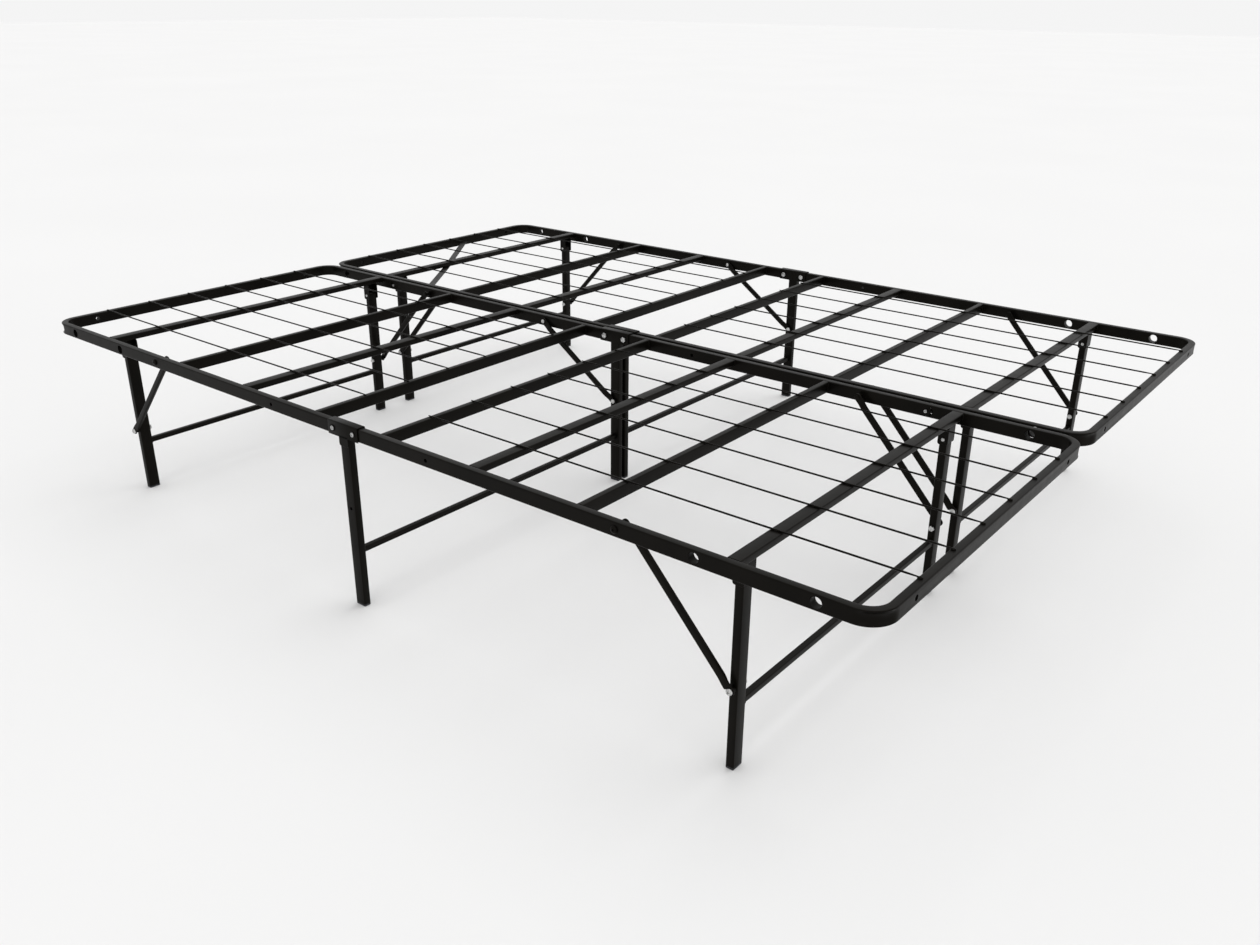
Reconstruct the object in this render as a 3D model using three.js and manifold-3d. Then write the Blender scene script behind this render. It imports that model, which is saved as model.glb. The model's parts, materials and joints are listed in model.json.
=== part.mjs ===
// Folding platform bed frame: two narrow units side by side, each with two deck panels
// that hinge at mid-length on a centre leg frame and carry folding end leg frames.
// Millimetres, +X along the bed, +Y across it, +Z up, origin on the floor under the middle.
import * as THREE from "three";
import { mergeVertices } from "three/addons/utils/BufferGeometryUtils.js";
import Module from "manifold-3d";

const wasm = await Module();
wasm.setup();

// Driving dimensions of the whole frame
const LENGTH = 2032;
const WIDTH = 1516;
const HEIGHT = 356;
const UNIT_GAP = 9;
const CLEARANCE = 0.3;

// Tube stock: the rims and legs, then the slats, then the crossbars
const RAIL_WIDE = 14;
const RAIL_DEEP = 24;
const BEND_RADIUS = 44;
const SLAT_WIDE = 22;
const SLAT_THIN = 12;
const CROSSBAR = 11;
const TUBE_WALL = 1.2;

// Slats, measured from the end of the bed, and the wires that lie on them
const FLAT_SLATS = { end: 223.4, third: 711 };
const EDGE_SLATS = { second: 491, hinge: 927 };
const WIRE_COUNT = 6;
const WIRE_PITCH = 102.6;
const WIRE_DIAMETER = 3;

// Legs
const LEG_FROM_END = 226.4;
const LEG_INSET = 35;
const LEG_PIVOT_Z = HEIGHT - 40;
const CENTRE_LEG_INSET = 0;
const CROSSBAR_Z = 110;
const CAP_HEIGHT = 4;
const CAP_PLUG = 14;

// Plates: hinge brackets, leg hangers, braces and the strap
const PLATE = 1.8;
const HINGE_SPREAD = 53.8;
const BRACKET_LENGTH = 79;
const TAB_DROP = 16;
const HANGER_PLATE = 2;
const HANGER_REACH = 10;
const BRACE_WIDE = 12;
const BRACE_DEEP = 7;
const BRACE_END_R = 7;
const BRACE_THICK = 3;
const FLATTENED_END = 24;
const BRACE_INSET = LEG_INSET - 10.1;
const BRACE_FROM_END = 415.5;
const BRACE_STUD_Z = 140;
const CENTRE_BRACE_INSET = 17;
const CENTRE_BRACE_X = 208;
const CENTRE_STUD_Z = 196;
const NOTCH_WIDTH = 7.4;
const NOTCH_TILT = 23;
const STRAP_WIDE = 16;
const STRAP_FROM_END = 381;
const STRAP_ALONG_END = 482;
const STRAP_RISE = 9;

// Bolts and pins
const HINGE_PIN_R = 3.5;
const HINGE_HEAD_R = 6.3;
const HINGE_HEAD = 1.8;
const PIN_R = 3;
const PIN_HEAD_R = 6.5;
const PIN_END_INSET = 38;
const NUT_R = 5.5;
const NUT_HEIGHT = 4;
const COLLAR_R = 5;
const HOLE_PLAY = 0.4;
const JOINER_FROM_END = 283;
const SPARE_HOLE_FROM_END = 279;
const CORNER_HOLE_FROM_END = 92;
const SPARE_HOLE_R = 8.6;
const END_HOLE_R = 4.6;
const WASHER_R = 9.5;

// Values worked out from the dimensions above
const END_X = LENGTH / 2;
const UNIT_WIDTH = (WIDTH - UNIT_GAP) / 2;
const BOLT_Z = HEIGHT - RAIL_DEEP / 2;
const HINGE_X = HINGE_SPREAD / 2;
const LEG_X = END_X - LEG_FROM_END;
const BRACE_X = END_X - BRACE_FROM_END;
const RAIL_END = RAIL_DEEP / 2;

const BLACK_STEEL = { color: 0x1b1a18, roughness: 0.42, metalness: 0.6 };
const ZINC = { color: 0xbfc3c4, roughness: 0.3, metalness: 0.9 };
const PLASTIC = { color: 0x111318, roughness: 0.6, metalness: 0 };

// ---- Solids -------------------------------------------------------------------------

function solidFrom(geometry) {
  const bare = geometry.index ? geometry.toNonIndexed() : geometry.clone();
  bare.deleteAttribute("normal");
  bare.deleteAttribute("uv");
  const merged = mergeVertices(bare, 1e-4);
  return new wasm.Manifold(
    new wasm.Mesh({
      numProp: 3,
      vertProperties: merged.attributes.position.array,
      triVerts: new Uint32Array(merged.index.array),
    }),
  );
}

function geometryFrom(solid) {
  const mesh = solid.getMesh();
  const geometry = new THREE.BufferGeometry();
  geometry.setAttribute("position", new THREE.BufferAttribute(mesh.vertProperties, 3));
  geometry.setIndex(new THREE.BufferAttribute(mesh.triVerts, 1));
  geometry.computeVertexNormals();
  return geometry;
}

// A box between two corners given in any order.
function box(xs, ys, zs) {
  const size = [xs, ys, zs].map(([a, b]) => Math.abs(b - a));
  const middle = [xs, ys, zs].map(([a, b]) => (a + b) / 2);
  return solidFrom(new THREE.BoxGeometry(...size).translate(...middle));
}

// A cylinder along Y through (x, z), from one y to the other.
function pin(x, z, radius, [yA, yB], sides = 12) {
  const geometry = new THREE.CylinderGeometry(radius, radius, Math.abs(yB - yA), sides);
  return solidFrom(geometry.translate(x, (yA + yB) / 2, z));
}

// A cylinder along X through (y, z), from one x to the other.
function pinAlongX(y, z, radius, [xA, xB], sides = 12) {
  const geometry = new THREE.CylinderGeometry(radius, radius, Math.abs(xB - xA), sides);
  return solidFrom(geometry.rotateZ(Math.PI / 2).translate((xA + xB) / 2, y, z));
}

function join(solids) {
  return solids.reduce((sum, next) => sum.add(next));
}

function cut(solid, tools) {
  return tools.reduce((rest, tool) => rest.subtract(tool), solid);
}

function around(middle, width) {
  return [middle - width / 2, middle + width / 2];
}

function node(name, solid, look) {
  const mesh = new THREE.Mesh(geometryFrom(solid), new THREE.MeshStandardMaterial(look));
  mesh.name = name;
  return mesh;
}

// ---- Places -------------------------------------------------------------------------

// A unit's two sides: inset is measured inwards from the outer face of that side's rail.
function sideOf(unit, side) {
  const middle = unit.y;
  const outer = middle + side.sign * (UNIT_WIDTH / 2);
  return {
    name: side.name,
    sign: side.sign,
    y: (inset) => outer - side.sign * inset,
    span: (a, b) => [outer - side.sign * a, outer - side.sign * b],
  };
}

const NEAR_SIDE = { name: "near", sign: -1 };
const FAR_SIDE = { name: "far", sign: 1 };
const SIDES = [NEAR_SIDE, FAR_SIDE];
const UNIT_OFFSET = (UNIT_WIDTH + UNIT_GAP) / 2;
const UNITS = [
  { name: "near", y: -UNIT_OFFSET },
  { name: "far", y: UNIT_OFFSET },
];
const PANELS = [
  { name: "left", sign: -1 },
  { name: "right", sign: 1 },
];

// ---- Deck panels --------------------------------------------------------------------

// Plan outline of a rim: a U of constant width whose two bends are arcs.
function rimOutline(inset, hingeX) {
  const x = END_X - inset;
  const y = UNIT_WIDTH / 2 - inset;
  const innerX = END_X - RAIL_WIDE + inset;
  const innerY = UNIT_WIDTH / 2 - RAIL_WIDE + inset;
  const centreX = END_X - BEND_RADIUS;
  const centreY = UNIT_WIDTH / 2 - BEND_RADIUS;
  const outline = new THREE.Shape();
  outline.moveTo(hingeX, -y);
  outline.lineTo(centreX, -y);
  outline.absarc(centreX, -centreY, x - centreX, -Math.PI / 2, 0, false);
  outline.lineTo(x, centreY);
  outline.absarc(centreX, centreY, x - centreX, 0, Math.PI / 2, false);
  outline.lineTo(hingeX, y);
  outline.lineTo(hingeX, innerY);
  outline.lineTo(centreX, innerY);
  outline.absarc(centreX, centreY, innerX - centreX, Math.PI / 2, 0, true);
  outline.lineTo(innerX, -centreY);
  outline.absarc(centreX, -centreY, innerX - centreX, 0, -Math.PI / 2, true);
  outline.lineTo(hingeX, -innerY);
  outline.closePath();
  return outline;
}

function rimSweep(inset, hingeX) {
  const depth = RAIL_DEEP - 2 * inset;
  const geometry = new THREE.ExtrudeGeometry(rimOutline(inset, hingeX), {
    depth,
    bevelEnabled: false,
    curveSegments: 6,
  });
  return solidFrom(geometry.translate(0, 0, BOLT_Z - depth / 2));
}

// The rim tube is open at the hinge, where each rail ends in a half round about its bolt.
function rim(unit, panel) {
  const half = UNIT_WIDTH / 2;
  const roundEnd = pin(HINGE_X, BOLT_Z, RAIL_END, [-half - 1, half + 1], 24);
  const body = rimSweep(0, HINGE_X).add(rimSweep(0, HINGE_X - RAIL_END).intersect(roundEnd));
  const holes = [
    pin(HINGE_X, BOLT_Z, HINGE_PIN_R + HOLE_PLAY, [-half - 1, half + 1]),
    pin(BRACE_X, BOLT_Z, PIN_R + HOLE_PLAY, [-half - 1, half + 1]),
    pin(CENTRE_BRACE_X, BOLT_Z, PIN_R + HOLE_PLAY, [-half - 1, half + 1]),
    pin(END_X - SPARE_HOLE_FROM_END, BOLT_Z, SPARE_HOLE_R, [-half - 1, half + 1]),
    pin(END_X - CORNER_HOLE_FROM_END, BOLT_Z, SPARE_HOLE_R, [-half - 1, half + 1]),
  ];
  for (const y of [-half + CORNER_HOLE_FROM_END, half - CORNER_HOLE_FROM_END]) {
    holes.push(pinAlongX(y, BOLT_Z, END_HOLE_R, [END_X - 2 * RAIL_WIDE, END_X + 1]));
  }
  const tube = cut(body, [rimSweep(TUBE_WALL, 0), ...holes]);
  const placed = panel.sign > 0 ? tube : tube.mirror([1, 0, 0]);
  return placed.translate([0, unit.y, 0]);
}

// A rectangular tube across the unit, open at both ends, between the rails.
function slatTube(unit, x, wide, deep) {
  const ys = around(unit.y, UNIT_WIDTH - 2 * (RAIL_WIDE + CLEARANCE));
  const outer = box(around(x, wide), ys, [HEIGHT - deep, HEIGHT]);
  const bore = box(
    around(x, wide - 2 * TUBE_WALL),
    around(unit.y, UNIT_WIDTH),
    [HEIGHT - deep + TUBE_WALL, HEIGHT - TUBE_WALL],
  );
  return outer.subtract(bore);
}

// A folded hanger under the end slat: two cheeks, a back wall that stops the leg, a rivet.
function hanger(side, panel) {
  const x = panel.sign * LEG_X;
  const back = x + panel.sign * (RAIL_WIDE / 2 + CLEARANCE);
  const front = x - panel.sign * HANGER_REACH;
  const zs = [LEG_PIVOT_Z - HANGER_REACH, HEIGHT - SLAT_THIN + TUBE_WALL / 2];
  const outerCheek = LEG_INSET - CLEARANCE;
  const innerCheek = LEG_INSET + RAIL_DEEP + CLEARANCE;
  const wall = [back, back + panel.sign * HANGER_PLATE];
  return join([
    box([front, wall[1]], side.span(outerCheek - HANGER_PLATE, outerCheek), zs),
    box([front, wall[1]], side.span(innerCheek, innerCheek + HANGER_PLATE), zs),
    box(wall, side.span(outerCheek - HANGER_PLATE, innerCheek + HANGER_PLATE), zs),
    pin(x, LEG_PIVOT_Z, PIN_R, side.span(outerCheek - 1, innerCheek + HANGER_PLATE + 1)),
    pin(x, LEG_PIVOT_Z, COLLAR_R, side.span(innerCheek + 1, innerCheek + HANGER_PLATE + 2)),
  ]);
}

function endSlat(unit, panel) {
  const x = panel.sign * (END_X - FLAT_SLATS.end);
  const hangers = SIDES.map((side) => hanger(sideOf(unit, side), panel));
  return join([slatTube(unit, x, SLAT_WIDE, SLAT_THIN), ...hangers]);
}

// The hinge-side slat and the six wires welded on it, which run out over the end rail.
function wireComb(unit, panel) {
  const slatX = panel.sign * (END_X - EDGE_SLATS.hinge);
  const wireZ = HEIGHT + CLEARANCE + WIRE_DIAMETER / 2;
  const start = slatX - panel.sign * (SLAT_THIN / 2);
  const finish = panel.sign * (END_X - 3);
  const solids = [slatTube(unit, slatX, SLAT_THIN, SLAT_WIDE)];
  for (let i = 0; i < WIRE_COUNT; i += 1) {
    const y = unit.y + (i - (WIRE_COUNT - 1) / 2) * WIRE_PITCH;
    solids.push(pinAlongX(y, wireZ, WIRE_DIAMETER / 2, [start, finish], 8));
    const weldTop = HEIGHT + WIRE_DIAMETER / 2;
    solids.push(box(around(slatX, 8), around(y, 4), [HEIGHT - 0.5, weldTop]));
  }
  return join(solids);
}

// The strap under one panel: flat below the end slat, then rising to its side rail.
function strap() {
  const unit = UNITS[1];
  const side = sideOf(unit, NEAR_SIDE);
  const top = HEIGHT - SLAT_THIN - CLEARANCE;
  const from = new THREE.Vector2(-END_X + RAIL_WIDE, side.y(STRAP_ALONG_END));
  const to = new THREE.Vector2(-END_X + STRAP_FROM_END, side.y(RAIL_WIDE));
  const direction = to.clone().sub(from).normalize();
  const across = new THREE.Vector2(-direction.y, direction.x).multiplyScalar(STRAP_WIDE / 2);
  const profile = new THREE.Shape();
  const length = from.distanceTo(to) + 2 * STRAP_WIDE;
  const bend = length * 0.64;
  profile.moveTo(0, top - BRACE_THICK);
  profile.lineTo(bend, top - BRACE_THICK);
  profile.lineTo(length, top - BRACE_THICK + STRAP_RISE);
  profile.lineTo(length, top + STRAP_RISE);
  profile.lineTo(bend, top);
  profile.lineTo(0, top);
  profile.closePath();
  const geometry = new THREE.ExtrudeGeometry(profile, { depth: STRAP_WIDE, bevelEnabled: false });
  geometry.rotateX(Math.PI / 2);
  geometry.rotateZ(direction.angle());
  const start = from.clone().addScaledVector(direction, -STRAP_WIDE).add(across);
  geometry.translate(start.x, start.y, 0);
  const space = box(
    [-END_X + RAIL_WIDE + CLEARANCE, 0],
    [side.y(RAIL_WIDE + CLEARANCE), unit.y + UNIT_WIDTH / 2],
    [0, HEIGHT],
  );
  return solidFrom(geometry).intersect(space);
}

// ---- Legs ---------------------------------------------------------------------------

// Two upright tubes and the crossbar between them; the tubes stay open at the foot.
function uprightPair(unit, x, inset, wideX, wideY, top) {
  const upright = (side, wall, zs) =>
    box(around(x, wideX - 2 * wall), sideOf(unit, side).span(inset + wall, inset + wideY - wall), zs);
  const reach = UNIT_WIDTH - 2 * (inset + wideY);
  const outside = [
    ...SIDES.map((side) => upright(side, 0, [CAP_HEIGHT + CLEARANCE, top])),
    box(around(x, CROSSBAR), around(unit.y, reach + 1), around(CROSSBAR_Z, CROSSBAR)),
  ];
  const bore = CROSSBAR - 2 * TUBE_WALL;
  const inside = [
    ...SIDES.map((side) => upright(side, TUBE_WALL, [0, top - TUBE_WALL])),
    box(around(x, bore), around(unit.y, reach + 4 * TUBE_WALL), around(CROSSBAR_Z, bore)),
  ];
  return { outside, inside };
}

// A stud through a leg: shank, collar against the leg, and a nut beyond the brace.
function stud(side, x, z, { shank, collar, nut }) {
  return join([
    pin(x, z, PIN_R, side.span(...shank)),
    pin(x, z, COLLAR_R, side.span(...collar)),
    pin(x, z, NUT_R, side.span(...nut), 6),
  ]);
}

function endLegFrame(unit, panel) {
  const x = panel.sign * LEG_X;
  const { outside, inside } = uprightPair(
    unit, x, LEG_INSET, RAIL_WIDE, RAIL_DEEP, LEG_PIVOT_Z,
  );
  const half = RAIL_WIDE / 2;
  const ring = (side, radius, a, b) =>
    pin(x, LEG_PIVOT_Z, radius, sideOf(unit, side).span(LEG_INSET + a, LEG_INSET + RAIL_DEEP - b), 24);
  const tops = SIDES.map((side) => ring(side, half, 0, 0));
  const topBores = SIDES.map((side) =>
    box(
      around(x, RAIL_WIDE - 2 * TUBE_WALL),
      sideOf(unit, side).span(LEG_INSET + TUBE_WALL, LEG_INSET + RAIL_DEEP - TUBE_WALL),
      [LEG_PIVOT_Z - 2 * half, LEG_PIVOT_Z + 2 * half],
    ),
  );
  const pivots = SIDES.map((side) => ring(side, PIN_R + HOLE_PLAY, -1, -1));
  const tubes = cut(join([...outside, ...tops]), [...inside, ...topBores, ...pivots]);
  const brace = BRACE_INSET - CLEARANCE;
  const studs = SIDES.map((side) =>
    stud(sideOf(unit, side), x, BRACE_STUD_Z, {
      shank: [brace - 1, LEG_INSET + RAIL_DEEP + 1],
      collar: [BRACE_INSET + BRACE_THICK + CLEARANCE, LEG_INSET + 0.5],
      nut: [brace - NUT_HEIGHT, brace],
    }),
  );
  const innerHeads = SIDES.map((side) => {
    const face = LEG_INSET + RAIL_DEEP;
    return pin(x, BRACE_STUD_Z, NUT_R, sideOf(unit, side).span(face - 0.5, face + NUT_HEIGHT));
  });
  return join([tubes, ...studs, ...innerHeads]);
}

// The folded channel over two rail ends, with a tab welded down the centre leg.
function hingeBracket(side) {
  const faces = [-CLEARANCE - PLATE, RAIL_WIDE + CLEARANCE + PLATE];
  const bottom = HEIGHT - RAIL_DEEP - 0.5;
  const top = HEIGHT + CLEARANCE + PLATE;
  const xs = around(0, BRACKET_LENGTH);
  const tab = [bottom - TAB_DROP, bottom + 1];
  const plates = join([
    box(xs, side.span(faces[0], -CLEARANCE), [bottom, top]),
    box(xs, side.span(RAIL_WIDE + CLEARANCE, faces[1]), [bottom, top]),
    box(xs, side.span(faces[0], faces[1]), [top - PLATE, top]),
    box(around(0, RAIL_DEEP), side.span(faces[0], -CLEARANCE), tab),
    box(around(0, SLAT_WIDE - 2), side.span(-CLEARANCE - 0.5, CENTRE_LEG_INSET + 0.5), tab),
  ]);
  const holes = [-HINGE_X, HINGE_X].map((x) =>
    pin(x, BOLT_Z, HINGE_PIN_R + HOLE_PLAY, side.span(faces[0] - 1, faces[1] + 1)),
  );
  return cut(plates, holes);
}

function centreLegFrame(unit) {
  const { outside, inside } = uprightPair(
    unit, 0, CENTRE_LEG_INSET, RAIL_DEEP, RAIL_WIDE, HEIGHT + CLEARANCE + PLATE / 2,
  );
  const brackets = SIDES.map((side) => hingeBracket(sideOf(unit, side)));
  const face = CENTRE_LEG_INSET + RAIL_WIDE;
  const nut = CENTRE_BRACE_INSET + BRACE_THICK + CLEARANCE;
  const braceStud = stud(sideOf(unit, FAR_SIDE), 0, CENTRE_STUD_Z, {
    shank: [CENTRE_LEG_INSET + 0.2, nut + 1],
    collar: [face - 0.5, CENTRE_BRACE_INSET - CLEARANCE],
    nut: [nut, nut + NUT_HEIGHT],
  });
  return join([cut(join([...outside, ...brackets]), inside), braceStud]);
}

// A plastic foot cap: a sole the size of the tube and a plug inside it.
function footCap(unit, side, x, inset, wideX, wideY) {
  const play = TUBE_WALL + CLEARANCE;
  const at = sideOf(unit, side);
  return join([
    box(around(x, wideX), at.span(inset, inset + wideY), [0, CAP_HEIGHT]),
    box(
      around(x, wideX - 2 * play),
      at.span(inset + play, inset + wideY - play),
      [CAP_HEIGHT - 1, CAP_HEIGHT + CAP_PLUG],
    ),
  ]);
}

// ---- Braces -------------------------------------------------------------------------

// A tube with flattened ends: a pivot pin at one, an open notch over a stud at its foot.
function brace(side, pivot, foot, inset) {
  const run = new THREE.Vector2(foot.x - pivot.x, foot.z - pivot.z);
  const ys = side.span(inset, inset + BRACE_THICK);
  const along = (length, depth, height, y) =>
    solidFrom(
      new THREE.BoxGeometry(length, depth, height)
        .rotateY(-run.angle())
        .translate((pivot.x + foot.x) / 2, y, (pivot.z + foot.z) / 2),
    );
  const bar = along(run.length(), BRACE_THICK, BRACE_WIDE, (ys[0] + ys[1]) / 2);
  const tubeLength = run.length() - 2 * FLATTENED_END;
  const tubeY = side.y(inset + BRACE_DEEP / 2);
  const tube = along(tubeLength, BRACE_DEEP, BRACE_WIDE, tubeY).subtract(
    along(tubeLength + 1, BRACE_DEEP - 2 * TUBE_WALL, BRACE_WIDE - 2 * TUBE_WALL, tubeY),
  );
  const ends = [pivot, foot].map((end) => pin(end.x, end.z, BRACE_END_R, ys, 20));
  const turn = Math.sign(run.x * foot.opens);
  const opening = run.angle() + turn * THREE.MathUtils.degToRad(90 + NOTCH_TILT);
  const notch = new THREE.BoxGeometry(BRACE_WIDE, 2 * BRACE_THICK, NOTCH_WIDTH);
  notch.translate(BRACE_WIDE / 2, 0, 0).rotateY(-opening);
  notch.translate(foot.x, (ys[0] + ys[1]) / 2, foot.z);
  const seat = pin(foot.x, foot.z, NOTCH_WIDTH / 2, side.span(inset - 1, inset + 2 * BRACE_THICK));
  const hooked = cut(join([bar, tube, ...ends]), [solidFrom(notch), seat]);
  return join([
    hooked,
    pin(pivot.x, pivot.z, PIN_R, side.span(-CLEARANCE - 1, PIN_END_INSET)),
    pin(pivot.x, pivot.z, PIN_HEAD_R, side.span(-CLEARANCE - 3, -CLEARANCE)),
    pin(pivot.x, pivot.z, COLLAR_R, side.span(RAIL_WIDE + CLEARANCE, inset + 0.5)),
  ]);
}

function endBrace(unit, side, panel) {
  const pivot = { x: panel.sign * BRACE_X, z: BOLT_Z };
  const foot = { x: panel.sign * LEG_X, z: BRACE_STUD_Z, opens: -1 };
  return brace(sideOf(unit, side), pivot, foot, BRACE_INSET);
}

function centreBrace(unit) {
  const pivot = { x: -CENTRE_BRACE_X, z: BOLT_Z };
  const foot = { x: 0, z: CENTRE_STUD_Z, opens: 1 };
  return brace(sideOf(unit, FAR_SIDE), pivot, foot, CENTRE_BRACE_INSET);
}

// ---- Bolts --------------------------------------------------------------------------

function hingeBolt(side, x) {
  const faces = [-CLEARANCE - PLATE - CLEARANCE, RAIL_WIDE + 2 * CLEARANCE + PLATE];
  return join([
    pin(x, BOLT_Z, HINGE_PIN_R, side.span(faces[0] - 1, faces[1] + 1)),
    pin(x, BOLT_Z, HINGE_HEAD_R, side.span(faces[0] - HINGE_HEAD, faces[0]), 16),
    pin(x, BOLT_Z, HINGE_HEAD_R, side.span(faces[1], faces[1] + 2 * HINGE_HEAD), 6),
  ]);
}

// A bolt through both centre rails, with a spacer between the units.
function joinerBolt(panel) {
  const x = panel.sign * (END_X - JOINER_FROM_END);
  const face = UNIT_GAP / 2 + RAIL_WIDE + CLEARANCE;
  const gap = UNIT_GAP / 2 - CLEARANCE;
  return join([
    pin(x, BOLT_Z, PIN_R, [-face - 1, face + 1]),
    pin(x, BOLT_Z, NUT_R, [-face - NUT_HEIGHT, -face], 16),
    pin(x, BOLT_Z, NUT_R, [face, face + NUT_HEIGHT], 6),
    pin(x, BOLT_Z, WASHER_R, [-gap, gap]),
    pin(x, BOLT_Z, WASHER_R, [-face - 1, -face]),
    pin(x, BOLT_Z, WASHER_R, [face, face + 1]),
  ]);
}

// ---- The assembly -------------------------------------------------------------------

function deckPanel(unit, panel) {
  const tag = `${unit.name}_${panel.name}`;
  const group = new THREE.Group();
  const slatX = (fromEnd) => panel.sign * (END_X - fromEnd);
  group.add(
    node(`rim_${tag}`, rim(unit, panel), BLACK_STEEL),
    node(`end_slat_${tag}`, endSlat(unit, panel), BLACK_STEEL),
    node(`second_slat_${tag}`, slatTube(unit, slatX(EDGE_SLATS.second), SLAT_THIN, SLAT_WIDE), BLACK_STEEL),
    node(`third_slat_${tag}`, slatTube(unit, slatX(FLAT_SLATS.third), SLAT_WIDE, SLAT_THIN), BLACK_STEEL),
    node(`wire_grid_${tag}`, wireComb(unit, panel), BLACK_STEEL),
    node(`end_legs_${tag}`, endLegFrame(unit, panel), BLACK_STEEL),
  );
  for (const side of SIDES) {
    const cap = footCap(unit, side, panel.sign * LEG_X, LEG_INSET, RAIL_WIDE, RAIL_DEEP);
    group.add(node(`foot_cap_${tag}_${side.name}`, cap, PLASTIC));
    group.add(node(`brace_${tag}_${side.name}`, endBrace(unit, side, panel), BLACK_STEEL));
  }
  return group;
}

function centreOf(unit) {
  const group = new THREE.Group();
  group.add(node(`centre_legs_${unit.name}`, centreLegFrame(unit), BLACK_STEEL));
  group.add(node(`centre_brace_${unit.name}`, centreBrace(unit), BLACK_STEEL));
  for (const side of SIDES) {
    const cap = footCap(unit, side, 0, CENTRE_LEG_INSET, RAIL_DEEP, RAIL_WIDE);
    group.add(node(`foot_cap_${unit.name}_centre_${side.name}`, cap, PLASTIC));
    for (const panel of PANELS) {
      const bolt = hingeBolt(sideOf(unit, side), panel.sign * HINGE_X);
      group.add(node(`hinge_bolt_${unit.name}_${panel.name}_${side.name}`, bolt, ZINC));
    }
  }
  return group;
}

const bed = new THREE.Group();
for (const unit of UNITS) {
  for (const panel of PANELS) {
    bed.add(deckPanel(unit, panel));
  }
  bed.add(centreOf(unit));
}
for (const panel of PANELS) {
  bed.add(node(`joiner_bolt_${panel.name}`, joinerBolt(panel), ZINC));
}
bed.add(node("strap_far_left", strap(), BLACK_STEEL));

export default bed;
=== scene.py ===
"""Looks of a folding platform bed frame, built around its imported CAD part.

Everything is in metres in the row frame: +X along the bed, +Y away from the near side, +Z up.
Each CAD node is replaced by a finer mesh in the same place, riding on the same body.
"""

import json
import math

import bmesh
import bpy
from mathutils import Matrix, Vector


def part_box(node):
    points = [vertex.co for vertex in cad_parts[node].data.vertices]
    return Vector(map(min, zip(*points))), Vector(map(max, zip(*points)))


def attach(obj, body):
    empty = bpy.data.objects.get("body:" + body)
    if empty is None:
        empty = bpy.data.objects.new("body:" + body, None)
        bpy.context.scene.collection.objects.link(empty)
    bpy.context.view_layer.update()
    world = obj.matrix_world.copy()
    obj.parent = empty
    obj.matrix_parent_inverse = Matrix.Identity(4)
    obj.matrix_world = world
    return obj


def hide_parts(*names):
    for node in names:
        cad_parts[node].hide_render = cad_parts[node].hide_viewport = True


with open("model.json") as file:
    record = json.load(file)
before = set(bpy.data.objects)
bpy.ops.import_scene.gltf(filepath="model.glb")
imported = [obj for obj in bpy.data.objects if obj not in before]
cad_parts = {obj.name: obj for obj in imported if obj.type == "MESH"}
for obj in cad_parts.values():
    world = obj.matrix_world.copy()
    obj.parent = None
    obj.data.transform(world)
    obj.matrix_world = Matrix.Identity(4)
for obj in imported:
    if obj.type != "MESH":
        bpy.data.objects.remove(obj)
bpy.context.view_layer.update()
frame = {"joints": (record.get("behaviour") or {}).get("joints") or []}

MM = 0.001
X_AXIS = Vector((1, 0, 0))
Y_AXIS = Vector((0, 1, 0))
Z_AXIS = Vector((0, 0, 1))

UNITS = ("near", "far")
PANELS = {"left": -1, "right": 1}
SIDES = {"near": -1, "far": 1}
WIRE_COUNT = 6
SECTION_STEPS = 4


# ---- Sizes, all read from the CAD nodes or named here --------------------------------


def span(node, axis):
    """Lowest and highest value of a CAD node along one axis."""
    low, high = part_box(node)
    return low[axis], high[axis]


def centre(node):
    low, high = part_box(node)
    return (low + high) / 2


def joint_pivot(name):
    """The point that a joint turns about."""
    found = [joint for joint in frame["joints"] if joint["name"] == name]
    return Vector(found[0]["pos_m"])


RAIL_BOTTOM, DECK_TOP = span("rim_near_left", 2)
RAIL_DEEP = DECK_TOP - RAIL_BOTTOM
RAIL_MIDDLE = (DECK_TOP + RAIL_BOTTOM) / 2
END_X = span("rim_near_right", 0)[1]
UNIT_WIDTH = span("rim_near_left", 1)[1] - span("rim_near_left", 1)[0]
SLAT_LENGTH = span("third_slat_near_left", 1)[1] - span("third_slat_near_left", 1)[0]
CLEARANCE = 0.3 * MM
RAIL_WIDE = (UNIT_WIDTH - SLAT_LENGTH) / 2 - CLEARANCE
BEND_RADIUS = 44 * MM
BEND_DENT = 4.2 * MM
HINGE_X = joint_pivot("right_fold").x
WIRE_TOP = span("wire_grid_near_left", 2)[1]
WIRE_RADIUS = (WIRE_TOP - DECK_TOP - CLEARANCE) / 2
WIRE_PITCH = 102.6 * MM
LEG_PIVOT_Z = joint_pivot("leg_fold_near_left").z
CROSSBAR = 11 * MM
CROSSBAR_Z = 110 * MM
BRACE_FLAT = 3 * MM
BRACE_WIDE = 12 * MM
BRACE_DEEP = 7 * MM
BRACE_END_RADIUS = 7 * MM
PLATE = 1.8 * MM
TUBE_ROUND = 2 * MM
TUBE_WALL = 1.2 * MM
SLAT_WIDE = 22 * MM
SLAT_THIN = 12 * MM
SPARE_HOLE_RADIUS = 8.6 * MM
SMALL_HOLE_RADIUS = 3.6 * MM
END_HOLE_RADIUS = 4.6 * MM
STUD_HOLE_RADIUS = 3.2 * MM
CORNER_HOLE = 92 * MM
END_SLAT_FROM_END = 223.4 * MM
JOINER_HOLE = 279 * MM
HINGE_END_HOLE = 808 * MM
SHANK_RADIUS = 3 * MM
RAIL_BOLT_RADIUS = 2.1 * MM
RAIL_BOLT_REACH = 38 * MM
BRACE_SET_OUT = 10.1 * MM
CENTRE_BRACE_INSET = 17 * MM
NOTCH_TURN = math.radians(113)  # from a brace's run to the way its notch opens
SOLE = 4 * MM
CUT_MARGIN = 4 * MM  # how far a hole's cutter reaches past each face
STRAP_WIDE = 16 * MM
STRAP_THICK = 3 * MM
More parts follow.
